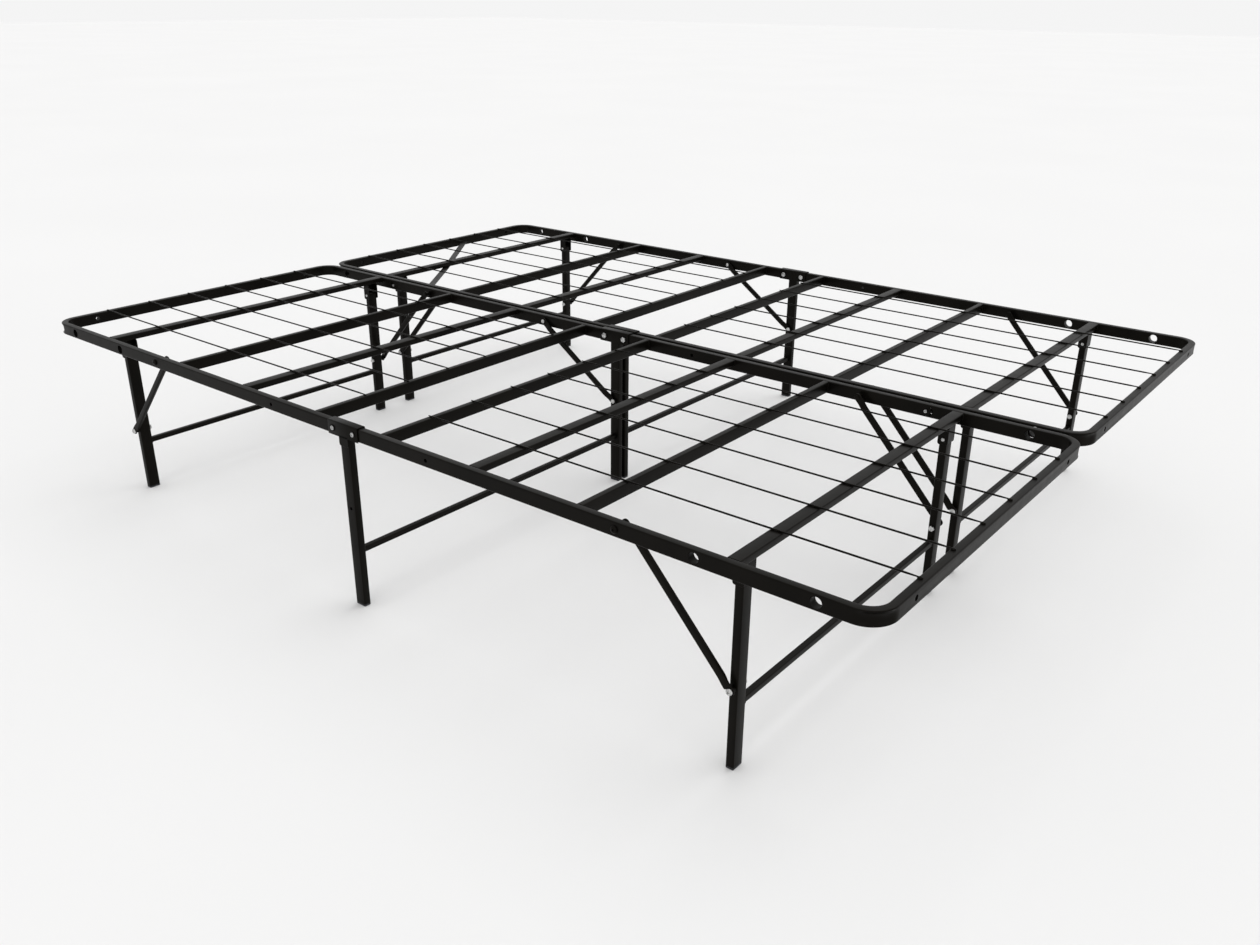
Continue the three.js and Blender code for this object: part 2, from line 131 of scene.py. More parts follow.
STRAP_END_INSET = 482 * MM
STRAP_SIDE_FROM_END = 381 * MM


def unit_middle(unit):
    return centre(f"rim_{unit}_left").y


def side_face(unit, side):
    """The outer face of a unit's rail on one side."""
    return unit_middle(unit) + SIDES[side] * UNIT_WIDTH / 2


def inset(unit, side, distance):
    """A place measured inwards from the outer face of a unit's rail."""
    return side_face(unit, side) - SIDES[side] * distance


# ---- Meshes --------------------------------------------------------------------------


class Shape:
    """Closed skins that together make one piece."""

    def __init__(self):
        self.vertices = []
        self.faces = []

    def loft(self, rings):
        """A skin through rings with the same number of points, capped at both ends."""
        start = len(self.vertices)
        count = len(rings[0])
        for ring in rings:
            self.vertices.extend(ring)
        for r in range(len(rings) - 1):
            for i in range(count):
                a = start + r * count + i
                b = start + r * count + (i + 1) % count
                self.faces.append((a, b, b + count, a + count))
        last = start + (len(rings) - 1) * count
        self.faces.append(tuple(start + i for i in range(count)))
        self.faces.append(tuple(last + i for i in range(count)))

    def bar(self, start, end, section, across, up):
        """A straight bar with softened end edges."""
        along = (end - start).normalized()
        soft = 0.3 * MM
        shrunk = shrink(section, soft)
        self.loft(
            [
                placed(shrunk, start, across, up),
                placed(section, start + along * soft, across, up),
                placed(section, end - along * soft, across, up),
                placed(shrunk, end, across, up),
            ]
        )

    def turned(self, profile, base, axis, sides=32):
        """A turned shape: profile is (distance along the axis, radius) pairs."""
        across = axis.orthogonal().normalized()
        up = axis.cross(across)
        self.loft(
            [placed(circle(radius, sides), base + axis * t, across, up) for t, radius in profile]
        )

    def bead(self, start, end, radius):
        """A weld bead: a rippled round line between two points."""
        along = end - start
        ripples = max(3, round(along.length / (1.6 * MM)))
        across = along.orthogonal().normalized()
        up = along.normalized().cross(across)
        rings = []
        for k in range(2 * ripples + 1):
            share = k / (2 * ripples)
            swell = 0.86 if k % 2 else 1.0
            taper = 0.5 if k in (0, 2 * ripples) else 1.0
            ring = circle(radius * swell * taper, 8)
            rings.append(placed(ring, start + along * share, across, up))
        self.loft(rings)

    def blob(self, middle, size):
        """A weld spot: a flattened round bump."""
        rings = []
        for k in range(1, 8):
            angle = math.pi * k / 8
            ring = [(size.x * u, size.y * v) for u, v in circle(math.sin(angle), 12)]
            rings.append(placed(ring, middle + Z_AXIS * size.z * math.cos(angle), X_AXIS, Y_AXIS))
        self.loft(rings)

    def object(self, name):
        mesh = bpy.data.meshes.new(name)
        mesh.from_pydata([tuple(v) for v in self.vertices], [], self.faces)
        skin = bmesh.new()
        skin.from_mesh(mesh)
        bmesh.ops.recalc_face_normals(skin, faces=skin.faces)
        skin.to_mesh(mesh)
        skin.free()
        piece = bpy.data.objects.new(name, mesh)
        bpy.context.scene.collection.objects.link(piece)
        return piece


def circle(radius, sides):
    turns = [2 * math.pi * i / sides for i in range(sides)]
    return [(radius * math.cos(t), radius * math.sin(t)) for t in turns]


def rounded(width, height, radius):
    """Outline of a rectangle with round corners."""
    points = []
    corners = ((1, -1, -90), (1, 1, 0), (-1, 1, 90), (-1, -1, 180))
    for right, top, first in corners:
        for k in range(SECTION_STEPS + 1):
            turn = math.radians(first + 90 * k / SECTION_STEPS)
            u = right * (width / 2 - radius) + radius * math.cos(turn)
            v = top * (height / 2 - radius) + radius * math.sin(turn)
            points.append((u, v))
    return points


def shrink(section, distance):
    """The outline moved inwards, for the softened edge of a cut end."""
    count = len(section)
    moved = []
    for i, (u, v) in enumerate(section):
        before = Vector(section[i - 1])
        after = Vector(section[(i + 1) % count])
        along = (after - before).normalized()
        moved.append((u - along.y * distance, v + along.x * distance))
    return moved


def placed(section, origin, across, up):
    return [origin + across * u + up * v for u, v in section]


def smoothstep(value):
    t = min(1, max(0, value))
    return t * t * (3 - 2 * t)


def dome(radius, height, start):
    """Profile of a domed head that rises from start."""
    steps = 7
    angles = [math.pi / 2 * k / steps for k in range(steps)]
    rise = [(start + height * math.sin(a), radius * math.cos(a)) for a in angles]
    return rise + [(start + height, 0.04 * radius)]


def carve(piece, cutters):
    """Takes the cutters' volume out of a piece."""
    tool = cutters.object("cutter")
    cut = piece.modifiers.new("cut", "BOOLEAN")
    cut.operation = "DIFFERENCE"
    cut.solver = "EXACT"
    cut.object = tool
    graph = bpy.context.evaluated_depsgraph_get()
    carved = bpy.data.meshes.new_from_object(piece.evaluated_get(graph))
    piece.modifiers.clear()
    piece.data = carved
    bpy.data.objects.remove(tool)


def cut_cross(piece, face, outward, reach):
    """Cuts a driver's cross into a bolt head; face is the middle of the head's top."""
    across = outward.orthogonal().normalized()
    up = outward.cross(across)
    tilted = (across + up).normalized()
    for along, other in ((tilted, outward.cross(tilted)), (outward.cross(tilted), -tilted)):
        slot = Shape()
        blade = rounded(2 * reach, 1.3 * MM, 0.4 * MM)
        taper = [(0.35 * u, v) for u, v in blade]
        slot.loft(
            [
                placed(taper, face - outward * 1.9 * MM, along, other),
                placed(blade, face + outward * 1 * MM, along, other),
            ]
        )
        carve(piece, slot)


def place_piece(piece, body, slot, *nodes):
    """Gives a piece its finish and shading, and makes it ride on its body."""
    piece.data.materials.clear()
    piece.data.materials.append(MATERIALS[slot])
    piece.data.shade_smooth()
    piece.data.set_sharp_from_angle(angle=math.radians(32))
    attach(piece, body)
    if nodes:
        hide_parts(*nodes)
    return piece


# ---- Materials -----------------------------------------------------------------------


def surface(name, colour, metallic, roughness):
    material = bpy.data.materials.new(name)
    material.use_nodes = True
    shader = material.node_tree.nodes["Principled BSDF"]
    shader.inputs["Base Color"].default_value = (*colour, 1)
    shader.inputs["Metallic"].default_value = metallic
    shader.inputs["Roughness"].default_value = roughness
    return material, material.node_tree, shader


def noise(tree, scale, detail):
    place = tree.nodes.new("ShaderNodeTexCoord")
    texture = tree.nodes.new("ShaderNodeTexNoise")
    texture.inputs["Scale"].default_value = scale
    texture.inputs["Detail"].default_value = detail
    tree.links.new(place.outputs["Object"], texture.inputs["Vector"])
    return texture.outputs["Fac"]


def ramp(tree, source, low, high):
    """Maps a noise value onto two shades."""
    node = tree.nodes.new("ShaderNodeValToRGB")
    node.color_ramp.elements[0].position = 0.35
    node.color_ramp.elements[1].position = 0.68
    node.color_ramp.elements[0].color = (*low, 1)
    node.color_ramp.elements[1].color = (*high, 1)
    tree.links.new(source, node.inputs["Fac"])
    return node.outputs["Color"]


def vary_roughness(tree, shader, source, low, high):
    node = tree.nodes.new("ShaderNodeMapRange")
    node.inputs["To Min"].default_value = low
    node.inputs["To Max"].default_value = high
    tree.links.new(source, node.inputs["Value"])
    tree.links.new(node.outputs["Result"], shader.inputs["Roughness"])


def add_bump(tree, shader, source, strength, distance):
    bump = tree.nodes.new("ShaderNodeBump")
    bump.inputs["Strength"].default_value = strength
    bump.inputs["Distance"].default_value = distance
    tree.links.new(source, bump.inputs["Height"])
    tree.links.new(bump.outputs["Normal"], shader.inputs["Normal"])


def black_powder_coat():
    material, tree, shader = surface("black_steel", (0.003, 0.0026, 0.002), 0, 0.36)
    cloud = noise(tree, 14, 4)
    colour = ramp(tree, cloud, (0.002, 0.0018, 0.0014), (0.004, 0.0034, 0.0026))
    tree.links.new(colour, shader.inputs["Base Color"])
    vary_roughness(tree, shader, noise(tree, 60, 3), 0.28, 0.42)
    add_bump(tree, shader, noise(tree, 1400, 2), 0.12, 0.1 * MM)
    shader.inputs["Specular IOR Level"].default_value = 0.06
    shader.inputs["Specular Tint"].default_value = (1, 0.94, 0.85, 1)
    shader.inputs["Coat Weight"].default_value = 0.02
    shader.inputs["Coat Roughness"].default_value = 0.22
    return material


def bright_zinc():
    material, tree, shader = surface("zinc_bolt", (0.42, 0.42, 0.42), 1, 0.3)
    colour = ramp(tree, noise(tree, 220, 4), (0.34, 0.34, 0.34), (0.64, 0.64, 0.63))
    tree.links.new(colour, shader.inputs["Base Color"])
    vary_roughness(tree, shader, noise(tree, 500, 2), 0.22, 0.38)
    add_bump(tree, shader, noise(tree, 1800, 2), 0.1, 0.05 * MM)
    return material


def moulded_plastic():
    material, tree, shader = surface("black_plastic", (0.010, 0.011, 0.014), 0, 0.6)
    colour = ramp(tree, noise(tree, 90, 3), (0.008, 0.009, 0.012), (0.013, 0.014, 0.019))
    tree.links.new(colour, shader.inputs["Base Color"])
    vary_roughness(tree, shader, noise(tree, 300, 2), 0.52, 0.68)
    add_bump(tree, shader, noise(tree, 2600, 2), 0.2, 0.05 * MM)
    return material


MATERIALS = {
    "black_steel": black_powder_coat(),
    "zinc_bolt": bright_zinc(),
    "black_plastic": moulded_plastic(),
}


# ---- Deck panels ---------------------------------------------------------------------


def rail_section(dent, height):
    """Section of the rim tube, u towards the outside; dent draws in the outer wall."""
    points = []
    for u, v in rounded(RAIL_WIDE, RAIL_DEEP, TUBE_ROUND):
        points.append((u, v * height))
    wall = []
    steps = 8
    reach = RAIL_DEEP / 2 - TUBE_ROUND
    for k in range(1, steps):
        v = reach * (2 * k / steps - 1)
        drawn_in = dent * (1 - abs(v / reach) ** 2.5)
        wall.append((RAIL_WIDE / 2 - drawn_in, v * height))
    first = SECTION_STEPS + 1
    return points[:first] + wall + points[first:]


def rim_stations(wall):
    """Points along a right-hand rim: place, outward direction, dent and share of full height.

    The bore's stations, with a wall, run straight out at the hinge and leave the tube open.
    """
    half = (UNIT_WIDTH - RAIL_WIDE) / 2
    x = END_X - RAIL_WIDE / 2
    radius = BEND_RADIUS - RAIL_WIDE / 2
    bend_x = x - radius
    bend_y = half - radius
    stations = []
    stations.extend(rim_tip(-1, half, wall))
    for side in (-1, 1):
        first = -90 if side < 0 else 0
        steps = 18
        for k in range(steps + 1):
            angle = math.radians(first + 90 * k / steps)
            outward = Vector((math.cos(angle), math.sin(angle), 0))
            middle = Vector((bend_x, side * bend_y, 0))
            share = k / steps
            dent = BEND_DENT * smoothstep(share / 0.3) * smoothstep((1 - share) / 0.3)
            stations.append((middle + outward * radius, outward, dent, 1))
    stations.extend(reversed(rim_tip(1, half, wall)))
    return stations


def rim_tip(side, half, wall):
    """The rail's half-round end about its hinge bolt, or the bore's open end."""
    outward = Vector((0, side, 0))
    if wall:
        return [(Vector((HINGE_X - RAIL_DEEP, side * half, 0)), outward, 0, 1)]
    tip = RAIL_DEEP / 2
    stations = []
    for k in range(1, 9):
        angle = math.pi / 2 * k / 8
        place = Vector((HINGE_X - tip * math.cos(angle), side * half, 0))
        stations.append((place, outward, 0, math.sin(angle)))
    return stations


def build_rim(unit, panel):
    sign = PANELS[panel]
    origin = Vector((0, unit_middle(unit), RAIL_MIDDLE))
    flip = Vector((sign, 1, 1))
    skins = {}
    for wall in (0, TUBE_WALL):
        rings = []
        for place, outward, dent, height in rim_stations(wall):
            section = rail_section(dent, height)
            if wall:
                section = shrink(section, wall)
            rings.append(placed(section, origin + place * flip, outward * flip, Z_AXIS))
        skins[wall] = Shape()
        skins[wall].loft(rings)
    piece = skins[0].object(f"look_rim_{unit}_{panel}")
    carve(piece, skins[TUBE_WALL])
    carve(piece, rim_holes(unit, sign))
    place_piece(piece, f"{panel}_deck", "black_steel", f"rim_{unit}_{panel}")


def rim_holes(unit, sign):
    """Spare holes through the side rails, and a pair through the end rail."""
    holes = Shape()
    half = UNIT_WIDTH / 2
    middle = unit_middle(unit)
    depth = RAIL_WIDE + 2 * CUT_MARGIN
    sizes = {
        CORNER_HOLE: SPARE_HOLE_RADIUS,
        JOINER_HOLE: SPARE_HOLE_RADIUS,
        HINGE_END_HOLE: SMALL_HOLE_RADIUS,
    }
    for from_end, radius in sizes.items():
        for side in (-1, 1):
            y = middle + side * (half + CUT_MARGIN)
            start = Vector((sign * (END_X - from_end), y, RAIL_MIDDLE))
            holes.turned(((0, radius), (depth, radius)), start, Vector((0, -side, 0)), 32)
    for side in (-1, 1):
        y = middle + side * (half - CORNER_HOLE)
        start = Vector((sign * (END_X + CUT_MARGIN), y, RAIL_MIDDLE))
        hole = ((0, END_HOLE_RADIUS), (depth, END_HOLE_RADIUS))
        holes.turned(hole, start, Vector((-sign, 0, 0)), 32)
    return holes


def slat_tube(shape, unit, x, wide, deep):
    """A cross tube level with the rails, with weld beads round both ends."""
    middle = unit_middle(unit)
    reach = UNIT_WIDTH / 2 - RAIL_WIDE
    z = DECK_TOP - deep / 2
    start = Vector((x, middle - reach, z))
    end = Vector((x, middle + reach, z))
    shape.bar(start, end, rounded(wide, deep, TUBE_ROUND), -X_AXIS, Z_AXIS)
    low = DECK_TOP - deep
    bead = 1.3 * MM
    for y in (start.y + 0.4 * MM, end.y - 0.4 * MM):
        for side in (-1, 1):
            edge = x + side * wide / 2
            top = Vector((edge, y, DECK_TOP - 2 * MM))
            shape.bead(top, Vector((edge, y, low + 1 * MM)), bead)
        shape.bead(Vector((x - wide / 2, y, low)), Vector((x + wide / 2, y, low)), bead)


def build_plain_slats(unit, panel):
    for kind in ("second_slat", "third_slat"):
        node = f"{kind}_{unit}_{panel}"
        low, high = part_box(node)
        slat = Shape()
        slat_tube(slat, unit, (low.x + high.x) / 2, high.x - low.x, high.z - low.z)
        place_piece(slat.object(f"look_{node}"), f"{panel}_deck", "black_steel", node)


def folded_plate(shape, outline, y_from, y_to):
    """A flat plate cut to an outline in X and Z, with softened edges."""
    soft = 0.35 * MM
    step = math.copysign(soft, y_to - y_from)
    inner = shrink(outline, soft)
    rings = []
    for y, ring in (
        (y_from, inner),
        (y_from + step, outline),
        (y_to - step, outline),
        (y_to, inner),
    ):
        rings.append(placed(ring, Vector((0, y, 0)), X_AXIS, Z_AXIS))
    shape.loft(rings)


def outline_box(x_from, x_to, z_from, z_to, radius):
    """A round-cornered outline between two corners."""
    low_x = min(x_from, x_to)
    high_x = max(x_from, x_to)
    middle = ((low_x + high_x) / 2, (z_from + z_to) / 2)
    outline = rounded(high_x - low_x, z_to - z_from, radius)
    return [(u + middle[0], v + middle[1]) for u, v in outline]


def leg_faces(unit, place, side):
    """Insets of a leg's outer and inner faces, read from its foot; place is a panel or centre."""
    low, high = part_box(f"foot_cap_{unit}_{place}_{side}")
    reach = [abs(side_face(unit, side) - y) for y in (low.y, high.y)]
    return min(reach), max(reach)


def add_hanger(shape, unit, panel, side):
    """The folded bracket that a leg swings in, and the pin and rivet through it."""
    sign = PANELS[panel]
    x = joint_pivot(f"leg_fold_{unit}_{panel}").x
    outer, inner = leg_faces(unit, panel, side)
    sheet = 2 * MM
    front = x - sign * 10 * MM
    back = x + sign * 9.3 * MM
    low = LEG_PIVOT_Z - 10 * MM
    high = DECK_TOP - 11.6 * MM
    for start in (outer - CLEARANCE - sheet, inner + CLEARANCE):
        y_from = inset(unit, side, start)
        y_to = inset(unit, side, start + sheet)
        folded_plate(shape, outline_box(front, back, low, high, 4 * MM), y_from, y_to)
    web_from = inset(unit, side, outer - CLEARANCE - sheet + 0.8 * MM)
    web_to = inset(unit, side, inner + CLEARANCE + sheet - 0.8 * MM)
    web = outline_box(back - sign * sheet, back, low + 3 * MM, high, 0.7 * MM)
    folded_plate(shape, web, web_from, web_to)
    inward = Vector((0, -SIDES[side], 0))
    start = Vector((x, inset(unit, side, outer - CLEARANCE - sheet - 0.8 * MM), LEG_PIVOT_Z))
    flat_head = [(0, 2.5 * MM), (0.4 * MM, 4.6 * MM), (1 * MM, 4.6 * MM), (1.2 * MM, SHANK_RADIUS)]
    length = inner - outer + 2 * (CLEARANCE + sheet) + 0.6 * MM
    shape.turned(flat_head + [(length, SHANK_RADIUS)], start, inward)
    rivet = Shape()
    round_head = [(0, 3.4 * MM)] + dome(3.5 * MM, 1.8 * MM, 0.3 * MM)
    rivet.turned(round_head, start + inward * length, inward)
    place_piece(rivet.object(f"look_rivet_{unit}_{panel}_{side}"), f"{panel}_deck", "zinc_bolt")


def build_end_slat(unit, panel):
    node = f"end_slat_{unit}_{panel}"
    sign = PANELS[panel]
    x = sign * (END_X - END_SLAT_FROM_END)
    slat = Shape()
    slat_tube(slat, unit, x, SLAT_WIDE, SLAT_THIN)
    for side in SIDES:
        add_hanger(slat, unit, panel, side)
    place_piece(slat.object(f"look_{node}"), f"{panel}_deck", "black_steel", node)


def build_wire_grid(unit, panel):
    """The hinge-side slat and its wires, each pressed into the end rail's top."""
    node = f"wire_grid_{unit}_{panel}"
    sign = PANELS[panel]
    low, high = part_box(node)
    slat_x = (low.x if sign > 0 else high.x) + sign * SLAT_THIN / 2
    finish = (high.x if sign > 0 else low.x) - sign * 3 * MM
    grid = Shape()
    slat_tube(grid, unit, slat_x, SLAT_THIN, SLAT_WIDE)
    wire_z = WIRE_TOP - WIRE_RADIUS
    weld = Vector((3.4 * MM, 2.3 * MM, 1.7 * MM))
    end_weld = Vector((4.2 * MM, 2.9 * MM, 2.9 * MM))
    end_slat_x = sign * (END_X - END_SLAT_FROM_END)
    crossings = [slat_x, end_slat_x]
    crossings += [centre(f"{kind}_{unit}_{panel}").x for kind in ("second_slat", "third_slat")]
    sag = 0.35 * MM
    start = slat_x - sign * (SLAT_THIN / 2 - 1 * MM)
    steps = 40
    for i in range(WIRE_COUNT):
        y = unit_middle(unit) + (i - (WIRE_COUNT - 1) / 2) * WIRE_PITCH
        rings = []
        for k in range(steps + 1):
            share = k / steps
            x = start + (finish - start) * share
            drop = sag * math.sin(math.pi * share)
            radius = WIRE_RADIUS * (0.55 if k in (0, steps) else 1)
            ring = circle(radius, 12)
            rings.append(placed(ring, Vector((x, y, wire_z - drop)), Y_AXIS, Z_AXIS))
        grid.loft(rings)
        for x in crossings:
            grid.blob(Vector((x, y, DECK_TOP + 0.3 * MM)), weld)
        grid.blob(Vector((finish - sign * 4 * MM, y, DECK_TOP + 0.3 * MM)), end_weld)
    place_piece(grid.object(f"look_{node}"), f"{panel}_deck", "black_steel", node)


def build_strap():
    """The flat strap below one panel, from its end rail across to its side rail."""
    node = "strap_far_left"
    low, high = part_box(node)
    low_end_y = inset("far", "near", STRAP_END_INSET)
    high_end_y = inset("far", "near", RAIL_WIDE)
    from_point = Vector((low.x, low_end_y, low.z + STRAP_THICK / 2))
    to_point = Vector((STRAP_SIDE_FROM_END - END_X, high_end_y, high.z - STRAP_THICK / 2))
    run = to_point - from_point
    along = Vector((run.x, run.y, 0)).normalized()
    across = Z_AXIS.cross(along)
    section = rounded(STRAP_WIDE, STRAP_THICK, 0.8 * MM)
    rings = []
    for share in (0, 0.55, 0.6, 0.65, 0.7, 1):
        place = from_point + run * share
        place.z = from_point.z + run.z * smoothstep((share - 0.55) / 0.45)
        rings.append(placed(section, place, across, Z_AXIS))
    strap = Shape()
    strap.loft(rings)
    place_piece(strap.object("look_strap"), "left_deck", "black_steel", node)


# ---- Legs ----------------------------------------------------------------------------


def upright(shape, x, y, wide_x, wide_y, low, high, round_top):
    """A leg tube; a round top is a half round about the leg's pivot."""
    section = rounded(wide_x, wide_y, TUBE_ROUND)
    rings = [placed(shrink(section, 0.3 * MM), Vector((x, y, low)), X_AXIS, Y_AXIS)]
    rings.append(placed(section, Vector((x, y, low + 0.3 * MM)), X_AXIS, Y_AXIS))
    rings.append(placed(section, Vector((x, y, high)), X_AXIS, Y_AXIS))
    if round_top:
        for k in range(1, 9):
            angle = math.pi / 2 * k / 9
            ring = [(u * math.cos(angle), v) for u, v in section]
            place = Vector((x, y, high + wide_x / 2 * math.sin(angle)))
            rings.append(placed(ring, place, X_AXIS, Y_AXIS))
    shape.loft(rings)


def crossbar(shape, x, y_from, y_to):
    """The square bar between two legs, welded all round at both ends."""
    section = rounded(CROSSBAR, CROSSBAR, 1.6 * MM)
    start = Vector((x, y_from, CROSSBAR_Z))
    end = Vector((x, y_to, CROSSBAR_Z))
    shape.bar(start, end, section, -X_AXIS, Z_AXIS)
    half = CROSSBAR / 2
    for y, way in ((y_from, 1), (y_to, -1)):
        at = y + way * 0.5 * MM
        for side in (-1, 1):
            edge = x + side * half
            low = Vector((edge, at, CROSSBAR_Z - half))
            shape.bead(low, Vector((edge, at, CROSSBAR_Z + half)), 1.5 * MM)
            z = CROSSBAR_Z + side * half
            shape.bead(Vector((x - half, at, z)), Vector((x + half, at, z)), 1.5 * MM)


def foot_span(node):
    """The middle of a foot cap, and its widths along X and Y."""
    low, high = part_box(node)
    return (low + high) / 2, high.x - low.x, high.y - low.y


def build_brace_stud(unit, panel, side, x, z):
    """The zinc bolt that a brace hooks on: a crossed head, a shank and a domed nut."""
    leg_outer, leg_inner = leg_faces(unit, panel, side)
    outward = Vector((0, SIDES[side], 0))
    head_inset = leg_outer - BRACE_SET_OUT - CLEARANCE
    head_rim = 0.8 * MM
    head_rise = 3 * MM
    stud = Shape()
    head = Vector((x, inset(unit, side, head_inset), z))
    profile = [(0, 5.4 * MM), (0.4 * MM, 5.6 * MM)] + dome(5.6 * MM, head_rise, head_rim)
    stud.turned(profile, head, outward)
    inner = Vector((x, inset(unit, side, leg_inner + 5.5 * MM), z))
    length = leg_inner - head_inset + 6 * MM
    stud.turned([(0, SHANK_RADIUS), (length, SHANK_RADIUS)], inner, outward, 20)
    nut = Vector((x, inset(unit, side, leg_inner), z))
    nut_profile = [(0, 5.6 * MM), (3.6 * MM, 5.6 * MM), (4.2 * MM, 4.8 * MM)]
    stud.turned(nut_profile, nut, -outward, 6)
    cap = Vector((x, inset(unit, side, leg_inner + 4 * MM), z))
    stud.turned(dome(4.4 * MM, 3 * MM, 0), cap, -outward)
    piece = stud.object(f"look_stud_{unit}_{panel}_{side}")
    cut_cross(piece, head + outward * (head_rim + head_rise), outward, 3.2 * MM)
    place_piece(piece, f"end_legs_{unit}_{panel}", "zinc_bolt")


def build_end_legs(unit, panel):
    node = f"end_legs_{unit}_{panel}"
    x = joint_pivot(f"leg_fold_{unit}_{panel}").x
    spacer_length = 6.6 * MM
    legs = Shape()
    inner_faces = []
    for side in SIDES:
        middle, wide_x, wide_y = foot_span(f"foot_cap_{unit}_{panel}_{side}")
        upright(legs, x, middle.y, wide_x, wide_y, SOLE, LEG_PIVOT_Z, True)
        inner_faces.append(middle.y - SIDES[side] * wide_y / 2)
        z = brace_foot_z(f"brace_{unit}_{panel}_{side}")
        spacer = Vector((x, inset(unit, side, leg_faces(unit, panel, side)[0]), z))
        outward = Vector((0, SIDES[side], 0))
        legs.turned([(0, 5 * MM), (spacer_length, 5 * MM)], spacer, outward)
        build_brace_stud(unit, panel, side, x, z)
    crossbar(legs, x, *inner_faces)
    place_piece(legs.object(f"look_{node}"), node, "black_steel", node)


def channel_section():
    """Section of a hinge bracket: a sheet folded over the rail, u inwards, v up."""
    outer = -CLEARANCE - PLATE
    inner = RAIL_WIDE + CLEARANCE + PLATE
    top = DECK_TOP + CLEARANCE + PLATE
    bottom = RAIL_BOTTOM - 0.5 * MM
    bend = 2.4 * MM
    points = [(outer, bottom)]
    for k in range(6):
        angle = math.radians(180 - 18 * k)
        points.append((outer + bend + bend * math.cos(angle), top - bend + bend * math.sin(angle)))
    for k in range(6):
        angle = math.radians(90 - 18 * k)
        points.append((inner - bend + bend * math.cos(angle), top - bend + bend * math.sin(angle)))
    points.append((inner, bottom))
    points.append((inner - PLATE, bottom))
    points.append((inner - PLATE, top - PLATE))
    points.append((outer + PLATE, top - PLATE))
    points.append((outer + PLATE, bottom))
    return points


def add_bracket(shape, unit, side):
    """The folded bracket over two rail ends, its tab down the leg, and its bolts' washers."""
    length = span(f"centre_legs_{unit}", 0)[1]
    inward = Vector((0, -SIDES[side], 0))
    base = Vector((0, side_face(unit, side), 0))
    section = channel_section()
    soft = 0.4 * MM
    rings = []
    for x, ring in (
        (-length, shrink(section, -soft / 2)),
        (-length + soft, section),
        (length - soft, section),
        (length, shrink(section, -soft / 2)),
    ):
        rings.append(placed(ring, base + X_AXIS * x, inward, Z_AXIS))
    shape.loft(rings)
    tab_top = RAIL_BOTTOM + 2 * MM
    tab = outline_box(-12 * MM, 12 * MM, tab_top - 18.5 * MM, tab_top, 3 * MM)
    y_from = inset(unit, side, -CLEARANCE - PLATE)
    folded_plate(shape, tab, y_from, inset(unit, side, -CLEARANCE))
    for x in (-HINGE_X, HINGE_X):
        washer = Vector((x, y_from + SIDES[side] * 0.05 * MM, RAIL_MIDDLE))
        rim = [(0, 6.4 * MM), (0.5 * MM, 6.4 * MM), (0.7 * MM, 6.1 * MM), (0.7 * MM, 5.2 * MM)]
        shape.turned(rim + [(0.3 * MM, 5.1 * MM)], washer, -inward)
    filler = outline_box(-10 * MM, 10 * MM, tab_top - 16 * MM, tab_top, 2 * MM)
    folded_plate(shape, filler, inset(unit, side, -CLEARANCE), inset(unit, side, 1.2 * MM))


def build_centre_legs(unit):
    node = f"centre_legs_{unit}"
    legs = Shape()
    inner_faces = []
    for side in SIDES:
        middle, wide_x, wide_y = foot_span(f"foot_cap_{unit}_centre_{side}")
        upright(legs, 0, middle.y, wide_x, wide_y, SOLE, DECK_TOP, False)
        inner_faces.append(middle.y - SIDES[side] * wide_y / 2)
        add_bracket(legs, unit, side)
    crossbar(legs, 0, *inner_faces)
    piece = legs.object(f"look_{node}")
    z = brace_foot_z(f"centre_brace_{unit}")
    spare = Shape()
    start = Vector((0, side_face(unit, "near") - CUT_MARGIN, z))
    depth = RAIL_WIDE + 2 * CUT_MARGIN
    spare.turned([(0, STUD_HOLE_RADIUS), (depth, STUD_HOLE_RADIUS)], start, Y_AXIS)
    carve(piece, spare)
    place_piece(piece, "middle", "black_steel", node)
    build_centre_stud(unit, z)


def build_centre_stud(unit, z):
    """The zinc bolt that the centre brace hooks on, through the far middle leg."""
    outer, inner = leg_faces(unit, "centre", "far")
    face = inner + 8 * MM
    shank = Vector((0, inset(unit, "far", outer), z))
    cap = Vector((0, inset(unit, "far", face - 1 * MM), z))
    stud = Shape()
    stud.turned([(0, SHANK_RADIUS), (face - outer, SHANK_RADIUS)], shank, -Y_AXIS)
    stud.turned(dome(5.2 * MM, 2.6 * MM, 0), cap, -Y_AXIS)
    place_piece(stud.object(f"look_stud_centre_{unit}"), "middle", "zinc_bolt")


def foot_cap(node, body):
    """A plastic foot: a sole flush with the tube and a plain plug inside it."""
    low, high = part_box(node)
    middle = (low + high) / 2
    wide_x = high.x - low.x
    wide_y = high.y - low.y
    section = rounded(wide_x, wide_y, TUBE_ROUND)
    at = Vector((middle.x, middle.y, 0))
    cap = Shape()
    rings = []
    for z, inset_by in ((0, 0.9), (0.3, 0.35), (0.9, 0), (3.3, 0), (3.8, 0.3)):
        ring = shrink(section, inset_by * MM) if inset_by else section
        rings.append(placed(ring, at + Z_AXIS * z * MM, X_AXIS, Y_AXIS))
    cap.loft(rings)
    play = 3 * MM
    plug = rounded(wide_x - play, wide_y - play, 1 * MM)
    cap.bar(at + Z_AXIS * 3 * MM, at + Z_AXIS * high.z, plug, X_AXIS, Y_AXIS)
    place_piece(cap.object(f"look_{node}"), body, "black_plastic", node)


# ---- Braces --------------------------------------------------------------------------


def brace_foot_z(node):
    """The height of the stud that a brace's lower end sits on."""
    return span(node, 2)[0] + BRACE_END_RADIUS


